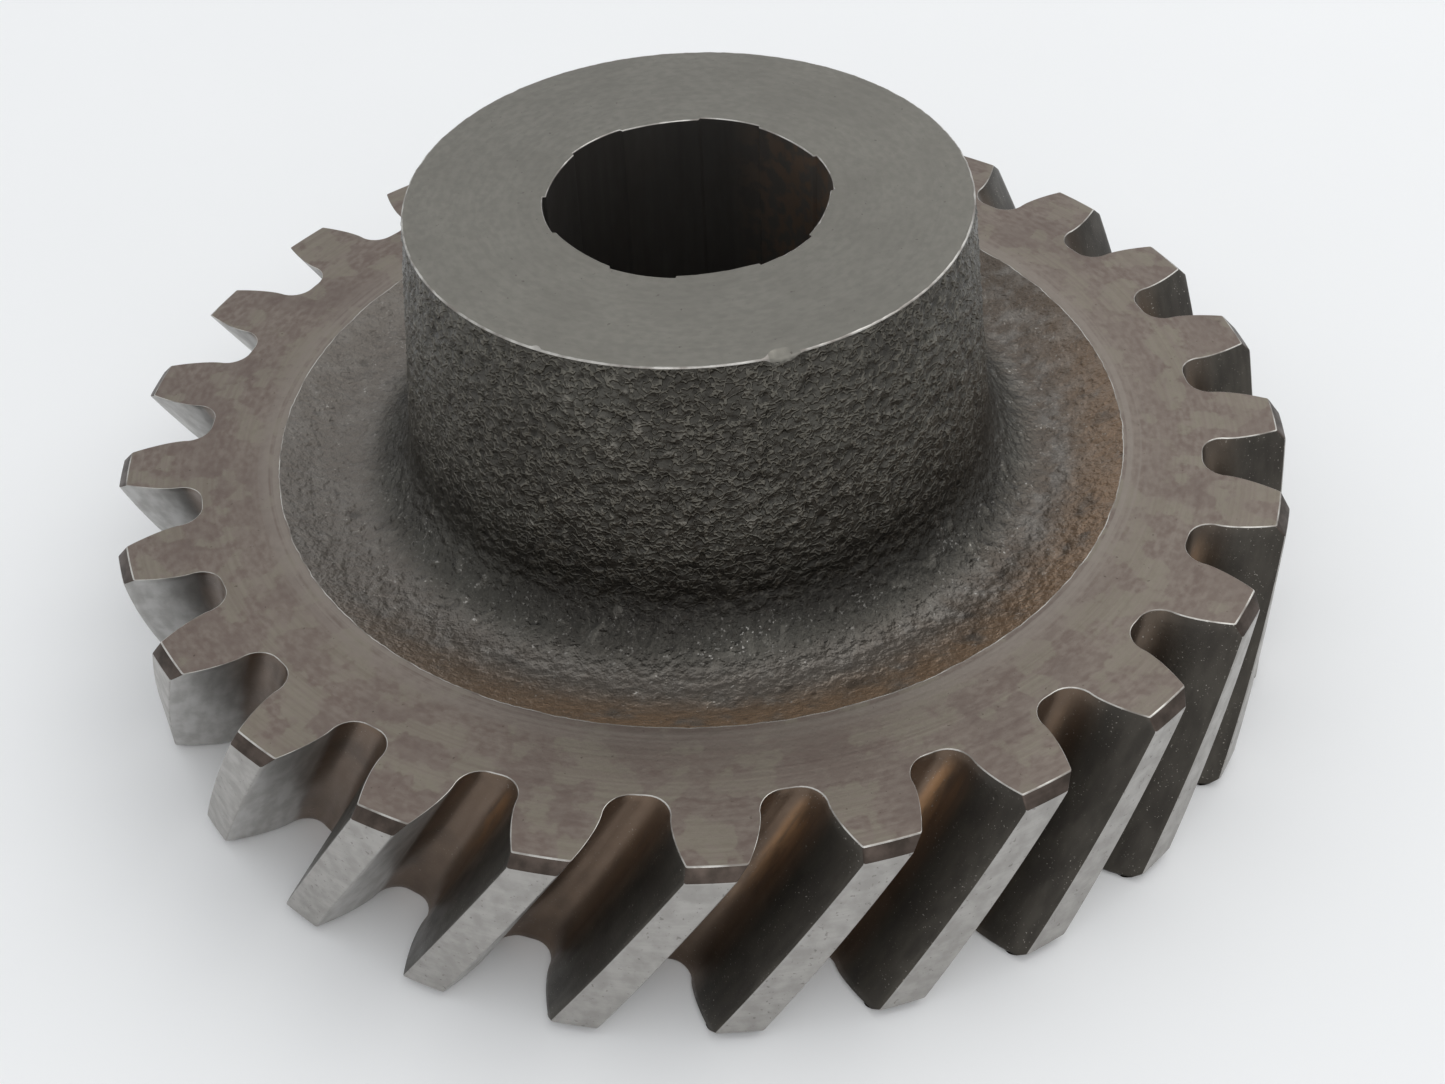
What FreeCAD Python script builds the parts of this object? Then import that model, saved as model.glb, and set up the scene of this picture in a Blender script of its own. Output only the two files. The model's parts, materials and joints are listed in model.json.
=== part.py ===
import FreeCAD, Part
import math
import os

from FreeCAD import Placement, Rotation, Vector
from Sketcher import Constraint

# Helical gear with a long hub on its front side. Millimetres, +Z up. The origin is on the gear's axis,
# in the plane of the flat back face. One bore lobe is centred on +X, and so is one tooth at the front
# rim face. The gear is a single piece of metal, so it is one body.

NODE = "helical_gear"

DIMENSIONS = {
    # Teeth, measured in the normal plane: diametral pitch 7, right-hand helix.
    "teeth": 25,
    "normal_module": 25.4 / 7,
    "pressure_angle": 14.5,
    "helix_angle": 30,
    "whole_depth_factor": 2.25,
    "root_fillet": 2.2,
    "form_clearance": 0.5,
    "face_width": 22,
    "tip_chamfer": 1.0,
    # As-cast web, dished between the turned rim face and the hub.
    "recess_radius": 40.5,
    "recess_slope_width": 3.4,
    "recess_slope_depth": 1.6,
    "web_depth": 3.2,
    "web_fillet": 6.0,
    # Hub, drafted as cast, with a turned end face.
    "hub_end_radius": 25.3,
    "hub_draft": 6,
    "hub_projection": 25.5,
    # Bore: six round lobes with six crowned lands between them, alike from end to end.
    "lobe_count": 6,
    "lobe_radius": 12.9,
    "land_mid_radius": 12.45,
    "land_crown_radius": 18.1,
    "land_half_angle": 16.5,
    # How far a cutter reaches out of the metal, and an added solid into it.
    "overrun": 1.0,
}

SHEET = "Dimensions"
CELLS = {name: f"{SHEET}.{name}" for name in DIMENSIONS}

# Sketcher's numbers for the ends of an edge, and for the sketch's own axes.
START, END, CENTRE = 1, 2, 3
HORIZONTAL, VERTICAL = -1, -2
ORIGIN = (HORIZONTAL, START)

# How closely an edge's place is matched, in millimetres, and the cut volume, as a share of it.
TOLERANCE = 1e-3
VOLUME_TOLERANCE = 1e-3


def formula(text, **terms):
    """An expression in which each {name} stands for that sheet cell, or for one of the terms."""
    return "(" + text.format(**CELLS, **terms) + ")"


# Sizes that follow from the driving dimensions. The tooth radii are in the plane of rotation.
PITCH_RADIUS = formula("{normal_module} * {teeth} / cos({helix_angle} * 1deg) / 2")
OUTSIDE_RADIUS = formula("{pitch} + {normal_module}", pitch=PITCH_RADIUS)
ROOT_RADIUS = formula("{outside} - {normal_module} * {whole_depth_factor}", outside=OUTSIDE_RADIUS)
ROTATION_PRESSURE_ANGLE = formula("atan(tan({pressure_angle} * 1deg) / cos({helix_angle} * 1deg))")
BASE_RADIUS = formula("{pitch} * cos({angle})", pitch=PITCH_RADIUS, angle=ROTATION_PRESSURE_ANGLE)
LEAD = formula("2 * pi * {pitch} / tan({helix_angle} * 1deg)", pitch=PITCH_RADIUS)
FACE_TWIST = formula("360deg * {face_width} / {lead}", lead=LEAD)
CUTTER_RADIUS = formula("{outside} + {overrun}", outside=OUTSIDE_RADIUS)
FORM_RADIUS = formula("{base} + {form_clearance}", base=BASE_RADIUS)
FLANK_MIDDLE_RADIUS = formula("({form} + {cutter}) / 2", form=FORM_RADIUS, cutter=CUTTER_RADIUS)

RIM_END_RADIUS = formula("{outside} - {tip_chamfer}", outside=OUTSIDE_RADIUS)
FRONT_TIP_HEIGHT = formula("{face_width} - {tip_chamfer}")
SLOPE_FOOT_RADIUS = formula("{recess_radius} - {recess_slope_width}")
SLOPE_FOOT_HEIGHT = formula("{face_width} - {recess_slope_depth}")
HUB_FOOT_RADIUS = formula("{hub_end_radius} + ({hub_projection} + {web_depth}) * tan({hub_draft} * 1deg)")
HUB_FOOT_HEIGHT = formula("{face_width} - {web_depth}")
HUB_END_HEIGHT = formula("{face_width} + {hub_projection}")

LAND_OUTER_RADIUS = formula("{lobe_radius} + {overrun}")
LAND_CROWN_OFFSET = formula("{land_crown_radius} - {land_mid_radius}")


def involute(angle):
    """The involute function of an angle, in degrees."""
    return f"(tan({angle}) * 180deg / pi - {angle})"


def space_half_angle(radius):
    """Half the angle that the space between two teeth spans at this radius."""
    at_pitch = involute(ROTATION_PRESSURE_ANGLE)
    at_radius = involute(f"acos({BASE_RADIUS} / {radius})")
    return formula("90deg / {teeth} - {pitch} + {radius}", pitch=at_pitch, radius=at_radius)


def make_sheet(doc):
    """One row for each driving dimension: its name in column A, its value in column B."""
    sheet = doc.addObject("Spreadsheet::Sheet", SHEET)
    for row, (name, value) in enumerate(DIMENSIONS.items(), start=1):
        sheet.set(f"A{row}", name)
        sheet.set(f"B{row}", str(value))
        sheet.setAlias(f"B{row}", name)
    doc.recompute()


def number(thing, expression):
    """The value of an expression, in millimetres or degrees."""
    result = thing.evalExpression(expression)
    return float(getattr(result, "Value", result))


def polar(radius, degrees):
    angle = math.radians(degrees)
    return Vector(radius * math.cos(angle), radius * math.sin(angle))


def mirrored(point):
    """The point on the other side of the sketch's horizontal axis."""
    return Vector(point.x, -point.y)


def origin_feature(body, role):
    """The body's own origin plane or axis that has this role."""
    return next(feature for feature in body.Origin.OriginFeatures if feature.Role == role)


class Outline:
    """A closed sketch on one of the body's origin planes, with its dimensions bound to expressions."""

    def __init__(self, body, name, plane):
        self.sketch = body.newObject("Sketcher::SketchObject", name)
        self.sketch.AttachmentSupport = [(origin_feature(body, plane), "")]
        self.sketch.MapMode = "FlatFace"

    def value(self, expression):
        return number(self.sketch, expression)

    def turn(self, angle):
        """Turn the sketch in its own plane."""
        self.sketch.AttachmentOffset = Placement(Vector(), Rotation(Vector(0, 0, 1), 1))
        self.sketch.setExpression("AttachmentOffset.Rotation.Angle", angle)

    def line(self, first, last):
        return self.sketch.addGeometry(Part.LineSegment(first, last))

    def arc(self, first, middle, last):
        return self.sketch.addGeometry(Part.Arc(first, middle, last))

    def construction_point(self, point):
        return self.sketch.addGeometry(Part.Point(point), True)

    def constrain(self, kind, *terms):
        return self.sketch.addConstraint(Constraint(kind, *terms))

    def bind(self, name, expression, kind, *terms):
        """Add a dimension and bind it to an expression."""
        value = self.value(expression)
        index = self.constrain(kind, *terms, math.radians(value) if kind == "Angle" else value)
        self.sketch.renameConstraint(index, name)
        self.sketch.setExpression(f"Constraints.{name}", expression)

    def place(self, name, point, x, y):
        """Bind a point's coordinates. Where x or y is None, the point lies on that axis."""
        if x is None:
            self.constrain("PointOnObject", *point, VERTICAL)
        else:
            self.bind(f"{name}_x", x, "DistanceX", *ORIGIN, *point)
        if y is None:
            self.constrain("PointOnObject", *point, HORIZONTAL)
        else:
            self.bind(f"{name}_y", y, "DistanceY", *ORIGIN, *point)

    def end(self, edge, corner):
        """The end of the edge that is at this corner."""
        nearest = min((START, END), key=lambda end: (self.sketch.getPoint(edge, end) - corner).Length)
        return edge, nearest

    def join(self, kind, first, second, corner):
        """Join two edges at a corner: Coincident, or Tangent for a smooth joint."""
        self.constrain(kind, *self.end(first, corner), *self.end(second, corner))


def draw_blank(body):
    """Half section of the blank, from the bore out to the tooth tips."""
    outline = Outline(body, "BlankSection", "XZ_Plane")
    bore = CELLS["lobe_radius"]
    corners = [
        ("back_bore", bore, None),
        ("back_rim", RIM_END_RADIUS, None),
        ("back_tip", OUTSIDE_RADIUS, CELLS["tip_chamfer"]),
        ("front_tip", OUTSIDE_RADIUS, FRONT_TIP_HEIGHT),
        ("front_rim", RIM_END_RADIUS, CELLS["face_width"]),
        ("recess_edge", CELLS["recess_radius"], CELLS["face_width"]),
        ("slope_foot", SLOPE_FOOT_RADIUS, SLOPE_FOOT_HEIGHT),
        ("hub_foot", HUB_FOOT_RADIUS, HUB_FOOT_HEIGHT),
        ("hub_rim", CELLS["hub_end_radius"], HUB_END_HEIGHT),
        ("hub_bore", bore, HUB_END_HEIGHT),
    ]
    points = [Vector(outline.value(x), outline.value(y) if y else 0) for _, x, y in corners]
    following = points[1:] + points[:1]
    edges = [outline.line(first, last) for first, last in zip(points, following)]
    for index, (name, x, y) in enumerate(corners):
        outline.join("Coincident", edges[index - 1], edges[index], points[index])
        outline.place(name, (edges[index], START), x, y)
    return outline.sketch


def draw_land(body):
    """One land of the bore: a crowned arc inside, and an arc within the hub's metal outside."""
    outline = Outline(body, "LandSection", "XY_Plane")
    outline.turn(formula("180deg / {lobe_count}"))
    half_angle = outline.value(CELLS["land_half_angle"])
    crown_radius = outline.value(CELLS["land_crown_radius"])
    crown_offset = outline.value(LAND_CROWN_OFFSET)
    outer_radius = outline.value(LAND_OUTER_RADIUS)
    # Where the crown's centre is, seen with one edge of the land straight ahead.
    crown_centre = polar(crown_offset, 180 - half_angle)
    edge_radius = math.sqrt(crown_radius**2 - crown_centre.y**2) + crown_centre.x
    middle_radius = crown_radius - crown_offset
    inner = [polar(edge_radius, -half_angle), polar(middle_radius, 0), polar(edge_radius, half_angle)]
    outer = [polar(outer_radius, angle) for angle in (-half_angle, 0, half_angle)]

    crown = outline.arc(*inner)
    back = outline.arc(*outer)
    sides = [outline.line(inner[index], outer[index]) for index in (0, 2)]
    for side, index in zip(sides, (0, 2)):
        outline.join("Coincident", crown, side, inner[index])
        outline.join("Coincident", back, side, outer[index])
        outline.constrain("PointOnObject", *ORIGIN, side)
    outline.constrain("Equal", *sides)
    outline.bind("half_angle", formula("{land_half_angle} * 1deg"), "Angle", sides[1])
    outline.constrain("PointOnObject", crown, CENTRE, HORIZONTAL)
    outline.bind("crown_offset", LAND_CROWN_OFFSET, "DistanceX", crown, CENTRE, *ORIGIN)
    outline.bind("crown_radius", CELLS["land_crown_radius"], "Radius", crown)
    outline.constrain("Coincident", back, CENTRE, *ORIGIN)
    outline.bind("back_radius", LAND_OUTER_RADIUS, "Radius", back)
    return outline.sketch


def draw_tooth_space(body):
    """The space between two teeth, at the back face.

    Each flank is an arc through three points of the involute, at the form radius, in the middle and
    beyond the tip. A fillet joins it smoothly to the root circle.
    """
    outline = Outline(body, "ToothSpaceSection", "XY_Plane")
    outline.turn(formula("180deg / {teeth} - {twist}", twist=FACE_TWIST))
    radii = (FORM_RADIUS, FLANK_MIDDLE_RADIUS, CUTTER_RADIUS)
    half_angles = [space_half_angle(radius) for radius in radii]
    form, middle, tip = (
        polar(outline.value(radius), outline.value(angle)) for radius, angle in zip(radii, half_angles))
    root_radius = outline.value(ROOT_RADIUS)
    fillet_radius = outline.value(CELLS["root_fillet"])
    fillet_centre = Vector(math.sqrt((root_radius + fillet_radius)**2 - (form.y - fillet_radius)**2),
                           form.y - fillet_radius)
    flank_end = fillet_centre + Vector(0, fillet_radius)
    root_end = fillet_centre * (root_radius / fillet_centre.Length)
    fillet_middle = fillet_centre + (flank_end + root_end - fillet_centre * 2).normalize() * fillet_radius

    upper_flank = outline.arc(flank_end, middle, tip)
    lower_flank = outline.arc(*map(mirrored, (flank_end, middle, tip)))
    upper_fillet = outline.arc(flank_end, fillet_middle, root_end)
    lower_fillet = outline.arc(*map(mirrored, (flank_end, fillet_middle, root_end)))
    root = outline.arc(mirrored(root_end), Vector(root_radius), root_end)
    mouth = outline.line(mirrored(tip), tip)
    form_point, middle_point, lower_point = (
        outline.construction_point(point) for point in (form, middle, mirrored(middle)))

    outline.join("Tangent", upper_flank, upper_fillet, flank_end)
    outline.join("Tangent", lower_flank, lower_fillet, mirrored(flank_end))
    outline.join("Tangent", upper_fillet, root, root_end)
    outline.join("Tangent", lower_fillet, root, mirrored(root_end))
    outline.join("Coincident", upper_flank, mouth, tip)
    outline.join("Coincident", lower_flank, mouth, mirrored(tip))
    outline.constrain("Coincident", root, CENTRE, *ORIGIN)
    outline.bind("root_radius", ROOT_RADIUS, "Radius", root)
    outline.bind("fillet_radius", CELLS["root_fillet"], "Radius", upper_fillet)
    named_points = (("form", (form_point, START)), ("middle", (middle_point, START)), ("tip", (mouth, END)))
    for (name, point), radius, angle in zip(named_points, radii, half_angles):
        outline.place(name, point, f"{radius} * cos({angle})", f"{radius} * sin({angle})")
    outline.constrain("PointOnObject", form_point, START, upper_flank)
    outline.constrain("PointOnObject", middle_point, START, upper_flank)
    outline.constrain("PointOnObject", lower_point, START, lower_flank)
    outline.constrain("Symmetric", middle_point, START, lower_point, START, HORIZONTAL)
    outline.constrain("Symmetric", mouth, START, mouth, END, HORIZONTAL)
    outline.constrain("Equal", upper_flank, lower_flank)
    outline.constrain("Equal", upper_fillet, lower_fillet)
    return outline.sketch


def ring_edge(shape, radius, height):
    """Name of the edge that runs round the axis at this radius and height."""
    for index, edge in enumerate(shape.Edges, start=1):
        start = edge.Vertexes[0].Point
        if edge.isClosed() and abs(math.hypot(start.x, start.y) - radius) < TOLERANCE > abs(start.z - height):
            return f"Edge{index}"
    raise ValueError(f"no edge at radius {radius}, height {height}")


def turn_blank(body):
    """Rim, web and hub as one turned and cast blank, with the teeth still uncut."""
    blank = body.newObject("PartDesign::Revolution", "Blank")
    blank.Profile = draw_blank(body)
    blank.ReferenceAxis = (origin_feature(body, "Z_Axis"), [""])
    blank.Angle = 360
    body.Document.recompute()
    corners = ((HUB_FOOT_RADIUS, HUB_FOOT_HEIGHT), (SLOPE_FOOT_RADIUS, SLOPE_FOOT_HEIGHT))
    places = [(number(body, radius), number(body, height)) for radius, height in corners]
    edges = [ring_edge(blank.Shape, radius, height) for radius, height in places]
    fillets = body.newObject("PartDesign::Fillet", "WebFillets")
    fillets.Base = (blank, edges)
    fillets.setExpression("Radius", CELLS["web_fillet"])


def add_patterned(body, name, feature, count):
    """Repeat a feature evenly round the axis."""
    pattern = body.newObject("PartDesign::PolarPattern", name)
    pattern.Originals = [feature]
    pattern.Axis = (origin_feature(body, "Z_Axis"), [""])
    pattern.Angle = 360
    pattern.setExpression("Occurrences", count)
    body.Tip = pattern


def add_bore_lands(body):
    """Six lands along the bore, which leave the lobes a fraction of a millimetre deeper."""
    land = body.newObject("PartDesign::Pad", "Land")
    land.Profile = draw_land(body)
    land.setExpression("Length", HUB_END_HEIGHT)
    add_patterned(body, "Lands", land, CELLS["lobe_count"])


def cut_teeth(body):
    """Cut one helical space right across the face, then the others round the axis."""
    space = body.newObject("PartDesign::SubtractiveHelix", "ToothSpace")
    space.Profile = draw_tooth_space(body)
    space.ReferenceAxis = (origin_feature(body, "Z_Axis"), [""])
    space.Mode = "pitch-height-angle"
    space.setExpression("Pitch", LEAD)
    space.setExpression("Height", CELLS["face_width"])
    add_patterned(body, "ToothSpaces", space, CELLS["teeth"])


def check(doc, body):
    """Stop if any object failed, or if the body isn't one valid solid with all its cuts made."""
    for thing in doc.Objects:
        if {"Invalid", "Error"} & set(thing.State):
            raise RuntimeError(f"{thing.Name}: {thing.State}")
    if body.Shape.isNull() or not body.Shape.isValid() or len(body.Shape.Solids) != 1:
        raise RuntimeError(f"{body.Label} isn't one valid solid")
    steps = ("Lands", "ToothSpace", "ToothSpaces")
    uncut, one_cut, all_cut = (doc.getObject(step).Shape.Volume for step in steps)
    expected = number(body, CELLS["teeth"]) * (uncut - one_cut)
    if expected <= 0 or abs(uncut - all_cut - expected) > VOLUME_TOLERANCE * expected:
        raise RuntimeError("the tooth spaces aren't all cut")


def main():
    doc = FreeCAD.newDocument("HelicalGear")
    make_sheet(doc)
    gear = doc.addObject("PartDesign::Body", "Gear")
    gear.Label = NODE
    turn_blank(gear)
    add_bore_lands(gear)
    cut_teeth(gear)
    gear.Placement = Placement()
    doc.recompute()
    check(doc, gear)
    os.makedirs("parts", exist_ok=True)
    gear.Shape.exportStep(f"parts/{NODE}.step")


main()
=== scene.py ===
import json
import math

import bpy
import numpy as np
from mathutils import Matrix, Vector


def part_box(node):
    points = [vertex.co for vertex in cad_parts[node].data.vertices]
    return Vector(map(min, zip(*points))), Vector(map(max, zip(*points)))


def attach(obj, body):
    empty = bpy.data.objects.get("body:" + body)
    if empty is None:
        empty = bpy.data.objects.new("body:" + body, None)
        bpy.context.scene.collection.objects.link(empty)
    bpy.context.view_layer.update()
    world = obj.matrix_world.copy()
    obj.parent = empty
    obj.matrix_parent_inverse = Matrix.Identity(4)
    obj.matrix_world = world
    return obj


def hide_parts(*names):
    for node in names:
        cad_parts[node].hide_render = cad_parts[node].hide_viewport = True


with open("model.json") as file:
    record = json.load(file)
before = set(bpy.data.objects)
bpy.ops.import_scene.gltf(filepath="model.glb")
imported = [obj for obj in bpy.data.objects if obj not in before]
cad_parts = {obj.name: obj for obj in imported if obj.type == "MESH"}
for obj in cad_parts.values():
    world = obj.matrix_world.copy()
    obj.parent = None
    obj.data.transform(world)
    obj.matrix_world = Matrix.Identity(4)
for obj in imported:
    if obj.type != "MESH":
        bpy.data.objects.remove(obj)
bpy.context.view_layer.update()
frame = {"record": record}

# Shapes are worked out in millimetres and written to Blender in metres.
MM = 0.001
NODE = "helical_gear"

# Sizes that the frame gives. The outside radius is the box's smallest, so that nothing reaches past it.
MOUNTS = {mount["name"]: [value / MM for value in mount["pos_m"]] for mount in frame["record"]["mounts"]}
OUTSIDE_RADIUS = min(abs(side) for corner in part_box(NODE) for side in corner[:2]) / MM
HUB_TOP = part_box(NODE)[1][2] / MM
PITCH_RADIUS = MOUNTS["tooth_mesh"][0]
FACE = MOUNTS["tooth_mesh"][2] * 2
MODULE = OUTSIDE_RADIUS - PITCH_RADIUS

# The design's other sizes.
TEETH = 25
HELIX_ANGLE = math.radians(30)
PRESSURE_ANGLE = math.radians(14.5)
ROOT_RADIUS = OUTSIDE_RADIUS - 2.25 * MODULE
ROOT_FILLET = 2.2
TIP_CHAMFER = 1.0
RECESS_RADIUS = 40.5
SLOPE_FOOT = (37.1, FACE - 1.6)
WEB_FLOOR = FACE - 3.2
WEB_FILLET = 6.0
HUB_RADIUS = 25.3
HUB_DRAFT = math.tan(math.radians(6))
LOBES = 6
LOBE_RADIUS = 12.9
LAND_MID_RADIUS = 12.45
LAND_CROWN_RADIUS = 18.1
LAND_HALF_ANGLE = math.radians(16.5)

# Small edge shapes, which the frame leaves sharp: how far each one reaches from its corner.
CORNER = 0.11
TOP_EDGE = 0.07
BOTTOM_EDGE = 0.9
HUB_EDGE = 0.13
RECESS_EDGE = 0.08

# Distance between points along the cast skin, from the recess edge to the hub's end.
SKIN_STEP = 0.28

ROTATION_PRESSURE = math.atan(math.tan(PRESSURE_ANGLE) / math.cos(HELIX_ANGLE))
BASE_RADIUS = PITCH_RADIUS * math.cos(ROTATION_PRESSURE)
LEAD = 2 * math.pi * PITCH_RADIUS / math.tan(HELIX_ANGLE)


# ---------------------------------------------------------------- noise

def make_lattice(seed):
    """Random unit gradients and a shuffled order of them, for noise() to read."""
    random = np.random.default_rng(seed)
    gradients = random.normal(size=(256, 3))
    gradients /= np.linalg.norm(gradients, axis=1)[:, None]
    return gradients, random.permutation(256)


LATTICE = make_lattice(7)


def noise(points, size, shift=0.0):
    """Gradient noise of about -1 to 1 at each point, with features of this size."""
    gradients, order = LATTICE
    scaled = np.asarray(points, float) / size + shift
    cell = np.floor(scaled).astype(int)
    inside = scaled - cell
    blend = inside * inside * inside * (inside * (inside * 6 - 15) + 10)
    total = np.zeros(scaled.shape[:-1])
    for corner in np.ndindex(2, 2, 2):
        corner = np.array(corner)
        x, y, z = np.moveaxis((cell + corner) & 255, -1, 0)
        gradient = gradients[order[(order[(order[x] + y) & 255] + z) & 255]]
        weight = np.prod(np.where(corner, blend, 1 - blend), axis=-1)
        total += weight * np.sum(gradient * (inside - corner), axis=-1)
    return total * 1.6


def ring_noise(angles, radius, size, shift=0.0):
    """Noise round a circle of this radius."""
    circle = np.stack([np.cos(angles) * radius, np.sin(angles) * radius, np.zeros_like(angles)], -1)
    return noise(circle, size, shift)


# ---------------------------------------------------------------- tooth outline

def involute(angle):
    return math.tan(angle) - angle


def space_half_angle(radius):
    """Half the angle between the flanks of one tooth space at this radius."""
    at_pitch = math.pi / (2 * TEETH) - involute(ROTATION_PRESSURE)
    return at_pitch + involute(math.acos(BASE_RADIUS / radius))


def fit_root_fillet():
    """The centre of the root fillet's arc, and the point where the arc meets the flank.

    The centre is found by halving the angle range until the arc just touches the flank.
    """
    radii = np.linspace(BASE_RADIUS + 0.01, PITCH_RADIUS, 400)
    angles = np.array([space_half_angle(radius) for radius in radii])
    flank = np.stack([radii * np.cos(angles), radii * np.sin(angles)], -1)
    low, high = 0.0, math.pi / TEETH
    for _ in range(40):
        middle = (low + high) / 2
        centre = (ROOT_RADIUS + ROOT_FILLET) * np.array([math.cos(middle), math.sin(middle)])
        gap = np.linalg.norm(flank - centre, axis=1)
        low, high = (middle, high) if gap.min() > ROOT_FILLET else (low, middle)
    return centre, flank[gap.argmin()]


FILLET_CENTRE, FILLET_START = fit_root_fillet()


def half_space(tip_radius):
    """Radius and angle of each point from the middle of a tooth space to the middle of a land."""
    root_turn = math.atan2(FILLET_CENTRE[1], FILLET_CENTRE[0])
    first = math.atan2(-FILLET_CENTRE[1], -FILLET_CENTRE[0])
    last = math.atan2(*(FILLET_START - FILLET_CENTRE)[::-1])
    turns = np.linspace(first, last - 2 * math.pi if last > first + math.pi else last, 9)
    arc = FILLET_CENTRE + ROOT_FILLET * np.stack([np.cos(turns), np.sin(turns)], -1)
    arc_radii = np.hypot(*arc.T)
    arc_angles = np.arctan2(arc[:, 1], arc[:, 0])
    flank_radii = np.linspace(arc_radii[-1], tip_radius - CORNER, 14)[1:]
    flank_angles = [space_half_angle(radius) for radius in flank_radii]
    tip_angle = space_half_angle(tip_radius)
    land_angles = np.linspace(tip_angle + CORNER / tip_radius, math.pi / TEETH, 5)
    corner = (tip_radius - 0.3 * CORNER, tip_angle + 0.3 * CORNER / tip_radius)
    radii = np.concatenate([[ROOT_RADIUS] * 2, arc_radii, flank_radii, [corner[0]], [tip_radius] * 5])
    angles = np.concatenate([[0, root_turn / 2], arc_angles, flank_angles, [corner[1]], land_angles])
    return radii, angles


# Whether each stretch between two of those points, from the root outwards, is on the tooth's top.
ON_TOP = [False] * 23 + [True] * 6

# The share of a large inset that each point takes: most at the tooth's corner, which is worn round.
INSET_SHARES = np.concatenate([
    np.full(7, 0.3), np.linspace(0.3, 1.0, 17), [1.0, 0.9, 0.75, 0.6, 0.5, 0.5]])


def twist(height):
    """How far the teeth have turned at this height. They are centred on +X at the rim face."""
    return (height - FACE) * 2 * math.pi / LEAD


def tip_radius_at(height):
    """The outside radius, less the chamfer at each end."""
    return OUTSIDE_RADIUS - max(0.0, TIP_CHAMFER - height, height - (FACE - TIP_CHAMFER))


def outline(height, inset):
    """The toothed outline at this height, drawn in by the inset: evenly if it is small, else by shares."""
    radii, angles = half_space(tip_radius_at(height))
    radii = np.concatenate([radii[:0:-1], radii[:-1]])
    angles = np.concatenate([-angles[:0:-1], angles[:-1]])
    centres = (np.arange(TEETH) + 0.5) * 2 * math.pi / TEETH + twist(height)
    turned = (centres[:, None] + angles[None, :]).ravel()
    reach = np.tile(radii, TEETH)
    points = np.stack([reach * np.cos(turned), reach * np.sin(turned)], -1)
    along = np.roll(points, -1, 0) - np.roll(points, 1, 0)
    outward = np.stack([along[:, 1], -along[:, 0]], -1) / np.linalg.norm(along, axis=1)[:, None]
    share = np.tile(np.concatenate([INSET_SHARES[:0:-1], INSET_SHARES[:-1]]), TEETH)
    if inset <= TOP_EDGE * 2:
        share = np.ones_like(share)
    points = points - outward * (inset * share)[:, None]
    return np.column_stack([points, np.full(len(points), height)])


# ---------------------------------------------------------------- meshes

def recess_edge(angles):
    """Radius of the slightly uneven ring where the turned face runs out into the cast web."""
    waves = 0.10 * ring_noise(angles, RECESS_RADIUS, 2.2)
    ripples = 0.05 * ring_noise(angles, RECESS_RADIUS, 0.7)
    return RECESS_RADIUS + waves + ripples


def ring(angles, radius, height):
    """Points round the axis. Radius and height are each one number, or one for each angle."""
    reach = np.broadcast_to(radius, angles.shape)
    level = np.broadcast_to(height, angles.shape)
    return np.column_stack([reach * np.cos(angles), reach * np.sin(angles), level])


def add_lofted_mesh(name, rings, slots, materials, sharp_rows=None, relief=None):
    """A closed mesh of quads through closed rings, each joined to the next and the last to the first.

    slots holds the material of each quad. Edges along a sharp row are sharp. With no rows given, edges
    are sharp by their angle. relief, if given, is kept for each point for the materials to read.
    """
    rings = np.array(rings)
    rows, columns = rings.shape[:2]
    index = np.arange(rows * columns).reshape(rows, columns)
    beside, above = np.roll(index, -1, 1), np.roll(index, -1, 0)
    quads = np.stack([index, beside, np.roll(beside, -1, 0), above], -1).reshape(-1, 4)
    mesh = bpy.data.meshes.new(name)
    mesh.from_pydata((rings.reshape(-1, 3) * MM).tolist(), [], quads.tolist())
    mesh.polygons.foreach_set("material_index", np.asarray(slots, np.int32).ravel())
    mesh.polygons.foreach_set("use_smooth", np.ones(len(quads), bool))
    for material in materials:
        mesh.materials.append(material)
    if sharp_rows is None:
        mesh.set_sharp_from_angle(angle=math.radians(24))
    else:
        ends = np.empty(len(mesh.edges) * 2, np.int32)
        mesh.edges.foreach_get("vertices", ends)
        row_of = ends.reshape(-1, 2) // columns
        sharp = (row_of[:, 0] == row_of[:, 1]) & np.isin(row_of[:, 0], sharp_rows)
        mesh.attributes.new("sharp_edge", "BOOLEAN", "EDGE").data.foreach_set("value", sharp)
    if relief is not None:
        kept = mesh.attributes.new("relief", "FLOAT", "POINT")
        kept.data.foreach_set("value", np.asarray(relief, np.float32).ravel())
    mesh.validate()
    piece = bpy.data.objects.new(name, mesh)
    bpy.context.scene.collection.objects.link(piece)
    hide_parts(NODE)
    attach(piece, "root")
    return piece


RIM_SLOTS = ["rim_face", "flank", "land", "chamfer", "edge", "back_face"]


def tooth_side():
    """Height and inset of each outline up the side of the teeth, from the back face to the rim face."""
    side = [(0.0, BOTTOM_EDGE + 0.1)]
    for turn in np.radians([0, 18, 36, 54]):
        side.append((BOTTOM_EDGE * (1 - math.cos(turn)), BOTTOM_EDGE * (1 - math.sin(turn))))
    beside = 0.05
    side += [(TIP_CHAMFER - beside, 0.0), (TIP_CHAMFER + beside, 0.0)]
    side += [(height, 0.0) for height in np.linspace(TIP_CHAMFER + 0.4, FACE - TIP_CHAMFER - 0.4, 24)]
    side += [(FACE - TIP_CHAMFER - beside, 0.0), (FACE - TIP_CHAMFER + beside, 0.0)]
    side += [(FACE - TOP_EDGE, 0.0), (FACE - TOP_EDGE * 0.3, TOP_EDGE * 0.3)]
    side += [(FACE, TOP_EDGE), (FACE, TOP_EDGE + 0.06)]
    return side


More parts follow.
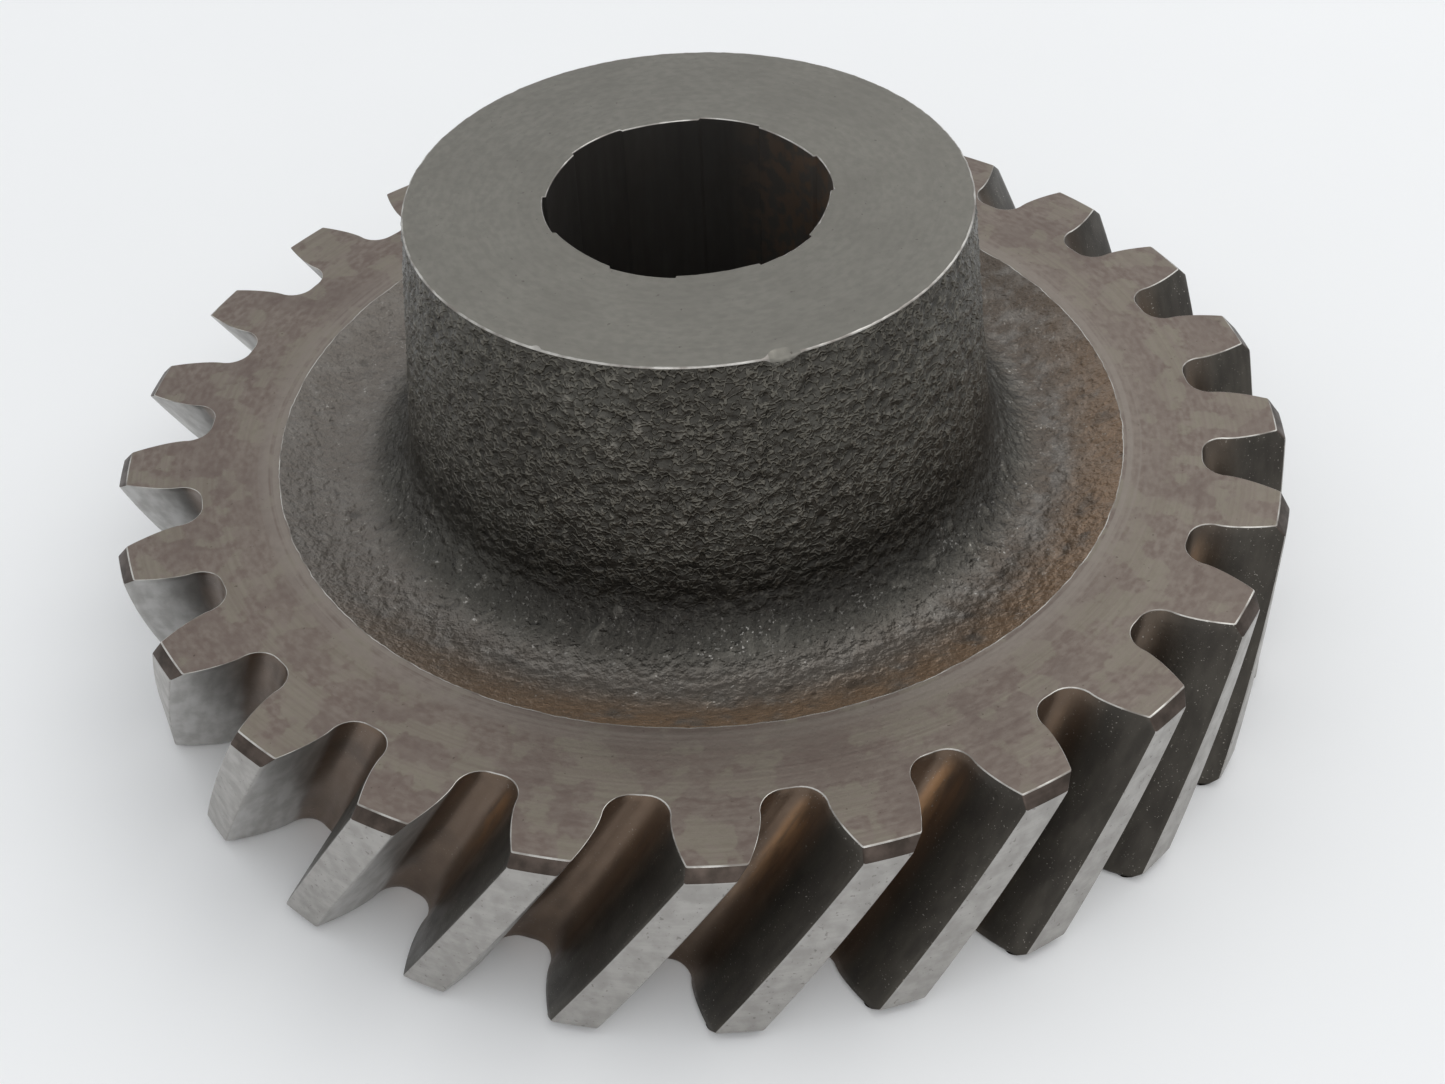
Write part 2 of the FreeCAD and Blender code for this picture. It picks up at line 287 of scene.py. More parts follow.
def build_toothed_rim(materials):
    """Teeth, front and back rim faces, and a wall inside at the recess edge, where the hub piece starts."""
    on_top = np.array((ON_TOP[::-1] + ON_TOP) * TEETH)
    side = tooth_side()
    outlines = [outline(height, inset) for height, inset in side]

    def inward(start, height):
        """Rings from an outline to the recess edge, the first ones just inside the roots."""
        start_angles = np.unwrap(np.arctan2(start[:, 1], start[:, 0]))
        even = np.linspace(start_angles[0], start_angles[0] + 2 * math.pi, len(start), endpoint=False)
        rings = []
        for share, inside in ((0.0, 1.0), (0.3, 2.6), (0.7, 5.0)):
            rings.append(ring(start_angles * (1 - share) + even * share, ROOT_RADIUS - inside, height))
        edge = recess_edge(even)
        return rings + [ring(even, edge + RECESS_EDGE, height), ring(even, edge, height)]

    back = inward(outlines[0], 0.0)[::-1]
    front = inward(outlines[-1], FACE)
    rings = back + outlines + front
    slots = np.full((len(rings), len(on_top)), RIM_SLOTS.index("rim_face"))
    slots[:len(back) + 1] = RIM_SLOTS.index("back_face")
    heights = [height for height, _ in side]
    for row, (height, next_height) in enumerate(zip(heights[1:], heights[2:]), len(back) + 1):
        in_chamfer = next_height <= TIP_CHAMFER or height >= FACE - TIP_CHAMFER
        if height < FACE - TOP_EDGE:
            slots[row] = RIM_SLOTS.index("flank")
            slots[row, on_top] = RIM_SLOTS.index("chamfer" if in_chamfer else "land")
        elif height < FACE:
            slots[row] = RIM_SLOTS.index("edge")
    slots[-2] = RIM_SLOTS.index("edge")
    return add_lofted_mesh("toothed_rim", rings, slots, [materials[name] for name in RIM_SLOTS])


def bore_angles():
    """Evenly spread angles, with a close pair at each step between a lobe and a land."""
    pitch = 2 * math.pi / LOBES
    lobe_half = pitch / 2 - LAND_HALF_ANGLE
    lobe = np.linspace(-lobe_half, lobe_half, 40)
    land = np.linspace(lobe_half + 0.004, pitch - lobe_half - 0.004, 50)
    return np.concatenate([np.concatenate([lobe, land]) + pitch * number for number in range(LOBES)])


def bore_radius(angles):
    """Distance from the axis to the bore's wall: round lobes, and flatter crowned lands between them."""
    pitch = 2 * math.pi / LOBES
    from_land = (angles % pitch) - pitch / 2
    offset = LAND_CROWN_RADIUS - LAND_MID_RADIUS
    crown = np.sqrt(LAND_CROWN_RADIUS**2 - (offset * np.sin(from_land))**2) - offset * np.cos(from_land)
    return np.where(np.abs(from_land) < LAND_HALF_ANGLE, crown, LOBE_RADIUS)


def turn_sign(arriving, leaving):
    """1 for a turn to the left and -1 for a turn to the right."""
    return np.sign(arriving[0] * leaving[1] - arriving[1] * leaving[0])


def rounded_path(corners, step):
    """Points about one step apart along a line through corners of (radius, height, fillet radius)."""
    points = [np.array(corner[:2]) for corner in corners]
    path = [points[0]]
    for before, here, after, (_, _, fillet) in zip(points, points[1:], points[2:], corners[1:]):
        arriving = (here - before) / np.linalg.norm(here - before)
        leaving = (after - here) / np.linalg.norm(after - here)
        turn = math.acos(float(np.clip(arriving @ leaving, -1, 1)))
        reach = fillet * math.tan(turn / 2)
        start = here - arriving * reach
        inner = np.array([-arriving[1], arriving[0]]) * turn_sign(arriving, leaving)
        centre = start + inner * fillet
        for share in np.linspace(0, 1, max(3, int(fillet * turn / step))):
            across = inner * fillet * math.cos(turn * share)
            onward = arriving * fillet * math.sin(turn * share)
            path.append(centre - across + onward)
    path.append(points[-1])
    path = np.array(path)
    length = np.concatenate([[0], np.cumsum(np.linalg.norm(np.diff(path, axis=0), axis=1))])
    even = np.linspace(0, length[-1], int(length[-1] / step) + 1)
    return np.column_stack([np.interp(even, length, path[:, axis]) for axis in (0, 1)])


def cast_relief(points, web_share):
    """How far the cast skin stands out: wrinkles on the hub's side, lumps and pits on the web."""
    warp = np.stack([noise(points, 1.8, shift) for shift in (11.3, 27.7, 43.1)], -1)
    warped = points + warp * 0.5
    wrinkle = 0.3 - np.abs(noise(warped, 1.3)) - 0.8 * np.abs(noise(warped, 0.85, 31.9))
    fine = noise(points, 0.6, 5.5)
    swell = noise(points, 5.0, 9.1)
    lump = np.maximum(0, noise(warped, 1.15, 3.7) - 0.2)
    pit = np.maximum(0, noise(warped, 1.6, 61.7) - 0.25)
    hub = 0.27 * wrinkle + 0.12 * fine + 0.04 * swell
    web = 0.36 * lump - 0.22 * pit + 0.05 * fine + 0.05 * swell + 0.04 * wrinkle
    return hub * (1 - web_share) + web * web_share


# Marks on the hub: angle, then place and size in millimetres.
NICK = dict(angle=math.radians(-84.4), width=1.25, depth=0.55)
NOTCH = dict(angle=math.radians(-131.2), width=0.30, depth=0.38)
PIT = dict(angle=math.radians(-122.5), height=40.3, width=0.42, depth=0.5)

HUB_SLOTS = ["cast_skin", "edge", "hub_end", "bore", "back_face"]


def around(angles, mark, radius):
    """Distance from a mark round a circle of this radius, in millimetres."""
    turn = (angles - mark["angle"] + math.pi) % (2 * math.pi) - math.pi
    return turn * radius


def struck(angles, radius):
    """1 in the struck mark and 0 away from it, with steep sides."""
    return np.exp(-(around(angles, NICK, radius) / NICK["width"])**4)


def skin_path():
    """Points along the cast skin, which way it faces at each of them, and how strong its relief is."""
    hub_foot = HUB_RADIUS + (HUB_TOP - WEB_FLOOR) * HUB_DRAFT
    path = rounded_path([
        (RECESS_RADIUS, FACE, 0), (*SLOPE_FOOT, WEB_FILLET), (hub_foot, WEB_FLOOR, WEB_FILLET),
        (HUB_RADIUS + HUB_EDGE * HUB_DRAFT, HUB_TOP - HUB_EDGE, 0)], SKIN_STEP)
    along = np.gradient(path, axis=0)
    out = np.column_stack([along[:, 1], -along[:, 0]]) / np.linalg.norm(along, axis=1)[:, None]
    travelled = np.linspace(0, 1, len(path))
    near_recess_edge = np.clip(travelled / 0.10, 0.25, 1)
    near_hub_end = np.clip((1 - travelled) / 0.012, 0, 1)
    return path, out, near_recess_edge * near_hub_end * (travelled > 0)


def skin_rings(angles, edge):
    """Rings of the cast skin, from the recess edge to the hub's end, and the relief at their points."""
    rings, reliefs = [], []
    for (radius, height), normal, strength in zip(*skin_path()):
        blend = np.clip((radius - RECESS_RADIUS + 4) / 4, 0, 1)
        reach = radius + (edge - RECESS_RADIUS) * blend
        web_share = np.clip((WEB_FLOOR + 6.5 - height) / 4.0, 0, 1)
        relief = strength * cast_relief(ring(angles, reach, height), web_share)
        beside = around(angles, PIT, radius) / PIT["width"]
        above = (height - PIT["height"]) / PIT["width"]
        relief -= PIT["depth"] * np.exp(-(beside**2 + above**2))
        reliefs.append(relief)
        near_top = np.clip(1 - (HUB_TOP - HUB_EDGE - height) / 1.2, 0, 1)
        sunk = NICK["depth"] * struck(angles, radius) * near_top
        rings.append(ring(angles, reach + relief * normal[0], height + relief * normal[1] - sunk))
    return rings, reliefs


def shoulder_rings(angles):
    """The hub end's outer edge: a little rough, with a burr, a notch and a struck mark."""
    rough = 0.05 * ring_noise(angles, HUB_RADIUS, 1.1) + 0.03 * ring_noise(angles, HUB_RADIUS, 0.4, 8.8)
    nick = struck(angles, HUB_RADIUS)
    notch = np.exp(-(around(angles, NOTCH, HUB_RADIUS) / NOTCH["width"])**2)
    rim = HUB_RADIUS + rough - NOTCH["depth"] * notch
    burr = 0.02 + 0.03 * np.maximum(0, ring_noise(angles, HUB_RADIUS, 1.6, 4.4))
    dent = NICK["depth"] * nick * (1 + 0.5 * ring_noise(angles, HUB_RADIUS, 0.45, 6.6))
    return [
        ring(angles, rim + 0.15 * nick, HUB_TOP - HUB_EDGE * 0.45 - dent),
        ring(angles, rim - HUB_EDGE * 0.35 - 0.45 * nick, HUB_TOP - burr * 0.5 - dent * 0.55),
        ring(angles, rim - HUB_EDGE - 0.95 * nick, HUB_TOP - dent * 0.08),
    ]


def lip_rings(angles, bore):
    """The lip of the bore at the hub's end, which is most torn at the front right."""
    torn = np.clip(np.cos(angles + math.radians(40)), 0, 1)**2
    ragged = (0.05 + 0.16 * torn) * np.maximum(0, ring_noise(angles, LOBE_RADIUS, 0.8, 2.2))
    return [
        ring(angles, bore + 0.07 + ragged, HUB_TOP),
        ring(angles, bore + 0.02 + ragged * 0.5, HUB_TOP - 0.03),
        ring(angles, bore, HUB_TOP - 0.09),
    ]


def build_hub_and_web(materials):
    """Cast web and hub side, turned hub end, bore and back face, with a wall outside at the recess edge."""
    angles = bore_angles()
    edge = recess_edge(angles)
    bore = bore_radius(angles)
    skin, reliefs = skin_rings(angles, edge)
    end_face = []
    for share in (0.12, 0.2, 0.3, 0.45, 0.6, 0.75, 0.88, 0.95):
        reach = (HUB_RADIUS - HUB_EDGE) * (1 - share) + (LOBE_RADIUS + 0.3) * share
        end_face.append(ring(angles, reach, HUB_TOP))
    wall = [ring(angles, bore, height) for height in np.linspace(HUB_TOP - 1.0, 1.0, 7)]
    foot = [ring(angles, bore, 0.3), ring(angles, bore + 0.3, 0.0)]
    back = [ring(angles, radius, 0.0) for radius in (18.0, 26.0, 34.0, edge)]
    shoulder = shoulder_rings(angles)
    lip = lip_rings(angles, bore)
    groups = {
        "cast_skin": skin, "edge": shoulder, "hub_end": end_face, "lip": lip, "bore": wall + foot,
        "back_face": back}

    rings, rows, starts = [], [], {}
    for name, members in groups.items():
        starts[name] = len(rings)
        rings += members
        rows += [HUB_SLOTS.index("edge" if name == "lip" else name)] * len(members)
    last_of_skin = starts["edge"] - 1
    last_of_shoulder = starts["hub_end"] - 1
    last_of_lip = starts["bore"] - 1
    last_of_foot = starts["back_face"] - 1
    last = len(rings) - 1

    # A row of quads has the material of the ring that it starts from, apart from these.
    slots = np.repeat(rows, len(angles)).reshape(len(rings), len(angles))
    slots[last_of_skin] = HUB_SLOTS.index("edge")
    slots[last_of_skin:starts["hub_end"], struck(angles, HUB_RADIUS) > 0.3] = HUB_SLOTS.index("hub_end")
    slots[last_of_shoulder] = HUB_SLOTS.index("hub_end")
    slots[last_of_lip] = HUB_SLOTS.index("bore")
    slots[last] = HUB_SLOTS.index("cast_skin")

    sharp = [0, last_of_skin, last_of_shoulder, starts["lip"], last_of_lip, last_of_foot, last]
    reliefs += [np.zeros(len(angles))] * (len(rings) - len(skin))
    hub_materials = [materials[name] for name in HUB_SLOTS]
    return add_lofted_mesh("hub_and_web", rings, slots, hub_materials, sharp, reliefs)


# ---------------------------------------------------------------- materials

def tint(red, green, blue):
    """A colour given as a screen shows it, from 0 to 255, as the linear numbers that Blender takes."""
    return tuple((level / 255) ** 2.2 for level in (red, green, blue)) + (1.0,)


class Finish:
    """A surface finish in the making, with short ways to add its nodes. Sizes are in millimetres."""

    def __init__(self, name):
        self.material = bpy.data.materials.new(name)
        self.material.use_nodes = True
        self.tree = self.material.node_tree
        self.shader = self.tree.nodes["Principled BSDF"]
        place = self.add("ShaderNodeTexCoord").outputs["Object"]
        scaled = self.add("ShaderNodeVectorMath", operation="SCALE")
        self.join(scaled.inputs[0], place)
        scaled.inputs["Scale"].default_value = 1 / MM
        self.place = scaled.outputs[0]
        split = self.add("ShaderNodeSeparateXYZ")
        self.join(split.inputs[0], self.place)
        self.x, self.y, self.height = split.outputs
        squares = self.math("ADD", self.math("POWER", self.x, 2.0), self.math("POWER", self.y, 2.0))
        self.radius = self.math("SQRT", squares)
        self.normal = None

    def add(self, kind, **settings):
        node = self.tree.nodes.new(kind)
        for name, value in settings.items():
            setattr(node, name, value)
        return node

    def join(self, socket, value):
        if isinstance(value, bpy.types.NodeSocket):
            self.tree.links.new(value, socket)
        else:
            socket.default_value = value

    def math(self, operation, first, second=0.0):
        node = self.add("ShaderNodeMath", operation=operation)
        self.join(node.inputs[0], first)
        self.join(node.inputs[1], second)
        return node.outputs[0]

    def product(self, *factors):
        """The factors multiplied together. The first has to be a socket."""
        total = factors[0]
        for factor in factors[1:]:
            total = self.math("MULTIPLY", total, factor)
        return total

    def ramp(self, value, start, end, low=0.0, high=1.0):
        """Goes smoothly from low to high as the value goes from start to end."""
        node = self.add("ShaderNodeMapRange", interpolation_type="SMOOTHSTEP")
        for socket, amount in zip(node.inputs, (value, start, end, low, high)):
            self.join(socket, amount)
        return node.outputs[0]

    def near(self, value, middle, reach):
        """1 where the value is at the middle, falling to 0 at this reach from it."""
        away = self.math("ABSOLUTE", self.math("SUBTRACT", value, middle))
        return self.ramp(away, reach, 0.0)

    def mix(self, share, first, second):
        node = self.add("ShaderNodeMix", data_type="RGBA")
        self.join(node.inputs["Factor"], share)
        self.join(node.inputs[6], first)
        self.join(node.inputs[7], second)
        return node.outputs[2]

    def unwound(self):
        """The place with the teeth's twist taken out, so that a tooth stands straight up."""
        node = self.add("ShaderNodeVectorRotate", rotation_type="Z_AXIS")
        self.join(node.inputs["Vector"], self.place)
        self.join(node.inputs["Angle"], self.math("MULTIPLY", self.height, -2 * math.pi / LEAD))
        return node.outputs[0]

    def cloud(self, size, detail, stretch=(1, 1, 1), seed=0.0, place=None):
        """Noise from 0 to 1 with features of this size, drawn out by the stretch."""
        mapping = self.add("ShaderNodeMapping")
        self.join(mapping.inputs["Vector"], place or self.place)
        mapping.inputs["Location"].default_value = (seed * 17.3, seed * 5.1, seed * 9.7)
        mapping.inputs["Scale"].default_value = [1 / (size * amount) for amount in stretch]
        node = self.add("ShaderNodeTexNoise")
        self.join(node.inputs["Vector"], mapping.outputs[0])
        node.inputs["Scale"].default_value = 1.0
        node.inputs["Detail"].default_value = detail
        return node.outputs[0]

    def ridges(self, size, width, seed=0.0):
        """Thin worm-like ridges from 0 to 1, where a noise passes through its middle value."""
        return self.near(self.cloud(size, 1.0, seed=seed), 0.5, width)

    def relief(self):
        """How far the skin stands out at a point, in millimetres, as the mesh keeps it."""
        return self.add("ShaderNodeAttribute", attribute_name="relief").outputs["Fac"]

    def across_space(self):
        """Where a point is across its tooth space: 0 in the middle, -0.5 and 0.5 at the lands' middles."""
        split = self.add("ShaderNodeSeparateXYZ")
        self.join(split.inputs[0], self.unwound())
        turn = self.math("ARCTAN2", split.outputs[1], split.outputs[0])
        spaces = self.math("MULTIPLY", turn, TEETH / (2 * math.pi))
        at_foot = TEETH * twist(0.0) / (2 * math.pi)
        share = self.math("FRACT", self.math("SUBTRACT", spaces, at_foot))
        return self.math("SUBTRACT", share, 0.5)

    def lines(self, along, size, wander=0.02, seed=0.0, detail=1.0):
        """Tool marks from 0 to 1: noise along one coordinate, changing slowly over the surface."""
        drift = self.add("ShaderNodeVectorMath", operation="SCALE")
        self.join(drift.inputs[0], self.place)
        drift.inputs["Scale"].default_value = wander
        node = self.add("ShaderNodeTexNoise", noise_dimensions="4D")
        self.join(node.inputs["Vector"], drift.outputs[0])
        self.join(node.inputs["W"], self.math("ADD", self.math("DIVIDE", along, size), seed))
        node.inputs["Scale"].default_value = 1.0
        node.inputs["Detail"].default_value = detail
        return node.outputs[0]

    def emboss(self, height, depth):
        """Adds a bump of this depth to the surface."""
        node = self.add("ShaderNodeBump")
        node.inputs["Distance"].default_value = depth * MM
        self.join(node.inputs["Height"], height)
        if self.normal is not None:
            self.join(node.inputs["Normal"], self.normal)
        self.normal = node.outputs[0]

    def done(self, colour, roughness, metallic, anisotropic=0.0):
        self.join(self.shader.inputs["Base Color"], colour)
        self.join(self.shader.inputs["Roughness"], roughness)
        self.join(self.shader.inputs["Metallic"], metallic)
        self.join(self.shader.inputs["Anisotropic"], anisotropic)
        self.join(self.shader.inputs["Normal"], self.normal)
        return self.material


def rust_and_lit_side(finish):
    """1 at the front right of the web, falling to 0 at the back left: where the rust is, and where painted
    light on the slope is strongest.
    """
    lean = finish.math("SUBTRACT", finish.product(finish.x, 0.35), finish.y)
    return finish.ramp(lean, -6.0, 34.0)


def cast_skin():
    """Dark oxidised casting: crests rubbed bright, partly a painted highlight, painted highlights on the
    hub's wrinkles, painted shade in the pits and at the hub's foot, painted glints on the web's lumps, a
    browner right side of the web that is partly painted shade, and rust inside the recess edge, partly
    painted light at the front right.
    """
    finish = Finish("cast_skin")
    broad = finish.cloud(7.0, 4.0)
    grain = finish.cloud(0.9, 4.0, seed=1.0)
    fine = finish.cloud(0.28, 3.0, seed=2.0)
    relief = finish.relief()
    wrinkles = finish.ridges(0.75, 0.09, seed=8.0)
    on_hub = finish.ramp(finish.height, WEB_FLOOR + 3.0, WEB_FLOOR + 13.0, 0.12, 1.0)
    on_web = finish.ramp(finish.radius, HUB_RADIUS + 4.5, SLOPE_FOOT[0] - 3.0)
    near_floor = finish.ramp(finish.height, WEB_FLOOR + 6.0, WEB_FLOOR + 2.0)
    colour = finish.mix(grain, tint(66, 64, 60), tint(94, 92, 86))
    colour = finish.mix(finish.ramp(broad, 0.38, 0.66, 0.0, 0.5), colour, tint(60, 57, 53))
    web_colour = finish.mix(grain, tint(103, 97, 91), tint(132, 126, 119))
    # The web's right side browner and darker in patches: partly its own tone, partly painted shade.
    right = finish.ramp(finish.x, 2.0, 26.0, 0.3, 1.0)
    brown_and_shade = finish.product(right, finish.ramp(finish.cloud(2.4, 5.0, seed=6.0), 0.34, 0.58), 0.8)
    web_colour = finish.mix(brown_and_shade, web_colour, tint(84, 71, 59))
    colour = finish.mix(finish.product(on_web, 0.85), colour, web_colour)
    # Painted shade in the crease at the hub's foot, strongest at the front and low down.
    foot = finish.near(finish.radius, HUB_RADIUS + 2.0, 5.5)
    low = finish.ramp(finish.height, WEB_FLOOR + 15.0, WEB_FLOOR + 3.0)
    front = finish.ramp(finish.y, -8.0, -26.0, 0.35, 0.85)
    foot_shade = finish.product(foot, low, front)
    colour = finish.mix(foot_shade, colour, tint(30, 28, 26))
    # Rust inside the recess edge on the slope. Its lighter tone at the front right is partly painted light.
    rust_patch = finish.ramp(finish.cloud(3.2, 4.0, seed=3.0), 0.24, 0.52)
    rust_band = finish.ramp(finish.radius, SLOPE_FOOT[0] - 3.0, SLOPE_FOOT[0] + 2.0)
    rust = finish.product(rust_band, rust_patch, rust_and_lit_side(finish), 0.85)
    colour = finish.mix(rust, colour, finish.mix(grain, tint(132, 107, 84), tint(144, 119, 96)))
    freckle = finish.ramp(finish.cloud(0.8, 2.0, seed=4.0), 0.64, 0.74, 0.0, 0.4)
    colour = finish.mix(freckle, colour, tint(46, 40, 36))
    # Painted shade: darker in the pits of the relief.
    colour = finish.mix(finish.ramp(relief, -0.03, -0.16, 0.0, 0.5), colour, tint(40, 38, 36))
    # Painted highlight on the wrinkle ridges of the hub's side.
    colour = finish.mix(finish.product(wrinkles, on_hub, 0.40), colour, tint(128, 124, 114))
    # Crests rubbed bright, partly a painted highlight, more towards the hub's end.
    rubbed = finish.ramp(finish.height, WEB_FLOOR + 5.0, WEB_FLOOR + 14.0, 0.15, 0.5)
    crests = finish.product(finish.ramp(relief, 0.03, 0.11), rubbed)
    colour = finish.mix(crests, colour, tint(134, 130, 122))
    # Painted glints: bright specks on the web's lumps near its floor.
    glint = finish.ramp(finish.cloud(0.32, 2.0, seed=5.0), 0.60, 0.71)
    lumps = finish.ramp(relief, 0.0, 0.08, 0.3, 1.0)
    gathered = finish.ramp(finish.cloud(2.8, 2.0, seed=11.0), 0.42, 0.60, 0.15, 1.0)
    colour = finish.mix(finish.product(glint, near_floor, lumps, gathered, 0.8), colour, tint(190, 186, 180))
    finish.emboss(grain, 0.18)
    finish.emboss(finish.product(finish.cloud(0.75, 2.0, seed=9.0), near_floor), 0.30)
    finish.emboss(finish.product(wrinkles, on_hub), 0.11)
    finish.emboss(fine, 0.07)
    metallic = finish.ramp(on_web, 0.0, 1.0, 0.85, 0.45)
    return finish.done(colour, finish.ramp(grain, 0.3, 0.7, 0.28, 0.42), metallic)


def turned_face(name, light, dark, stain, line, line_depth, patches=0.0, band=None):
    """A face turned on a lathe, with patina drawn out along its rings, barer patches, and a few specks.

    patches is how strong the barer patches are. band is the middle and reach of a brighter ring.
    """
    finish = Finish(name)
    broad = finish.cloud(8.0, 4.0)
    patina = finish.lines(finish.radius, 0.7, 1.1, detail=8.0)
    grain = finish.cloud(0.3, 3.0, seed=2.0)
    rings = finish.lines(finish.radius, line)
    wide_rings = finish.lines(finish.radius, line * 3.5, seed=40.0)
    colour = finish.mix(finish.ramp(patina, 0.30, 0.68), light, dark)
    colour = finish.mix(finish.ramp(broad, 0.42, 0.66, 0.0, 0.6), colour, stain)
    bare = finish.ramp(finish.cloud(3.4, 6.0, seed=6.0), 0.50, 0.57)
    bare = finish.product(bare, finish.ramp(patina, 0.25, 0.55), patches)
    colour = finish.mix(bare, colour, tint(146, 142, 126))
    colour = finish.mix(finish.ramp(rings, 0.35, 0.7, 0.0, 0.4), colour, dark)
    colour = finish.mix(finish.ramp(wide_rings, 0.4, 0.65, 0.0, 0.3), colour, light)
    if band:
        bright = finish.product(finish.near(finish.radius, *band), finish.ramp(rings, 0.35, 0.6, 0.1, 0.8))
        colour = finish.mix(bright, colour, finish.mix(0.2, light, tint(170, 165, 158)))
    speck = finish.ramp(finish.cloud(0.5, 2.0, seed=3.0), 0.70, 0.78, 0.0, 0.45)
    colour = finish.mix(speck, colour, tint(60, 50, 44))
    finish.emboss(rings, line_depth)
    finish.emboss(patina, line_depth)
    finish.emboss(grain, 0.010)
    rough = finish.ramp(patina, 0.3, 0.7, 0.40, 0.50)
    rough = finish.math("ADD", rough, finish.product(speck, 0.2))
    return finish.done(colour, rough, metallic=0.85, anisotropic=0.3)


def tooth_top(name, light, dark):
    """The lands and their chamfers, turned before the teeth were cut, with fine marks and freckles."""
    finish = Finish(name)
    patch = finish.cloud(1.5, 4.0)
    marks = finish.lines(finish.height, 0.25, 0.15)
    freckle = finish.ramp(finish.cloud(0.4, 2.0, seed=3.0), 0.64, 0.74, 0.0, 0.45)
    colour = finish.mix(finish.ramp(patch, 0.3, 0.7), light, dark)
    colour = finish.mix(finish.ramp(marks, 0.4, 0.7, 0.0, 0.35), colour, dark)
    colour = finish.mix(freckle, colour, tint(76, 70, 65))
    finish.emboss(marks, 0.006)
    finish.emboss(finish.cloud(0.25, 3.0, seed=2.0), 0.012)
    return finish.done(colour, finish.ramp(patch, 0.3, 0.7, 0.40, 0.50), metallic=0.85)


def tooth_flank():
    """The cut flanks and roots: one side of each tooth bright from running and with a painted reflection,
    the other dark with oil.

    Dust lies on the dark side, and some roots have a rusty streak down it.
    """
    finish = Finish("tooth_flank")
    straight = finish.unwound()
    across = finish.across_space()
    patch = finish.cloud(1.3, 4.0, stretch=(1, 1, 2.5), place=straight)
    broad = finish.cloud(6.0, 3.0, seed=1.0)
    feed = finish.lines(finish.height, 0.45, 0.1)
    dark = finish.mix(finish.ramp(patch, 0.3, 0.7, 0.2, 0.8), tint(80, 76, 70), tint(58, 55, 51))
    in_root = finish.ramp(finish.radius, PITCH_RADIUS, ROOT_RADIUS + 1.0)
    dull = finish.ramp(finish.x, 12.0, 38.0, 1.0, 0.3)
    dark = finish.mix(finish.product(in_root, dull, 0.75), dark, tint(122, 102, 86))
    dark = finish.mix(finish.ramp(broad, 0.42, 0.7, 0.0, 0.4), dark, tint(52, 48, 45))
    side = finish.near(across, 0.17, 0.08)
    below_face = finish.ramp(finish.height, FACE, FACE - 3.0)
    upper = finish.product(finish.ramp(finish.height, 7.0, 18.0), below_face)
    ragged = finish.ramp(finish.cloud(0.8, 4.0, stretch=(1, 1, 5), seed=4.0, place=straight), 0.25, 0.6)
    chosen = finish.cloud(14.0, 1.0, stretch=(1, 1, 8), seed=7.0, place=straight)
    chosen = finish.ramp(chosen, 0.40, 0.58, 0.15, 1.0)
    streak = finish.product(side, upper, in_root, ragged, dull)
    dark = finish.mix(finish.product(streak, chosen), dark, tint(160, 124, 92))
    settled = finish.ramp(finish.cloud(3.0, 2.0, seed=9.0), 0.42, 0.62, 0.1, 0.7)
    dust = finish.product(finish.ramp(finish.cloud(0.20, 1.0, seed=6.0), 0.69, 0.74), settled)
    dark = finish.mix(dust, dark, tint(160, 154, 146))
    above_root = finish.ramp(finish.radius, ROOT_RADIUS + 1.2, ROOT_RADIUS + 2.4)
    # One side of each tooth bright: wear from running, and a painted reflection.
    worn = finish.product(finish.ramp(across, -0.16, -0.21), above_root)
    bright = finish.mix(finish.ramp(patch, 0.3, 0.7), tint(174, 172, 169), tint(152, 149, 145))
    colour = finish.mix(worn, dark, bright)
    finish.emboss(feed, 0.006)
    finish.emboss(finish.cloud(0.28, 3.0, seed=2.0), 0.012)
    return finish.done(colour, finish.ramp(patch, 0.3, 0.7, 0.32, 0.42), metallic=0.8)


def bright_edge():
    """Edges rubbed bright in stretches and dull in others."""
    finish = Finish("bright_edge")
    worn = finish.cloud(2.5, 4.0)
    colour = finish.mix(finish.ramp(worn, 0.36, 0.66), tint(200, 197, 191), tint(132, 126, 120))
    finish.emboss(finish.cloud(0.2, 2.0, seed=1.0), 0.012)
    return finish.done(colour, finish.ramp(worn, 0.3, 0.7, 0.30, 0.45), metallic=0.9)


def bore_wall():
    """The broached bore: fine lines along it, dark oil, rust on its right side, and a painted reflection
    that lightens that side.
    """
    finish = Finish("bore_wall")
    streak = finish.cloud(0.8, 3.0, stretch=(1, 1, 14))
    broad = finish.cloud(4.0, 4.0, stretch=(1, 1, 2), seed=1.0)
    right = finish.ramp(finish.math("SUBTRACT", finish.x, finish.product(finish.y, 0.3)), 2.0, 11.0)
    patch = finish.ramp(finish.cloud(1.4, 5.0, seed=2.0), 0.42, 0.60)
    colour = finish.mix(finish.ramp(streak, 0.1, 0.9), tint(104, 101, 97), tint(92, 89, 86))
    colour = finish.mix(finish.ramp(broad, 0.4, 0.7, 0.0, 0.5), colour, tint(80, 76, 72))
    # Painted reflection: the bore's right side lighter.
    colour = finish.mix(finish.product(right, 0.6), colour, tint(142, 134, 126))
    rust = finish.product(right, patch, 0.7)
    colour = finish.mix(rust, colour, tint(156, 130, 110))
    finish.emboss(streak, 0.008)
    finish.emboss(finish.cloud(0.4, 3.0, seed=3.0), 0.015)
    return finish.done(colour, finish.ramp(broad, 0.3, 0.7, 0.30, 0.42), metallic=0.8)


def pale_floor():
    """Matt off-white, very slightly uneven."""
    finish = Finish("pale_floor")
    colour = finish.mix(finish.cloud(60.0, 3.0), tint(240, 240, 240), tint(244, 244, 244))
    finish.emboss(finish.cloud(1.5, 2.0), 0.004)
    return finish.done(colour, roughness=0.75, metallic=0.0)


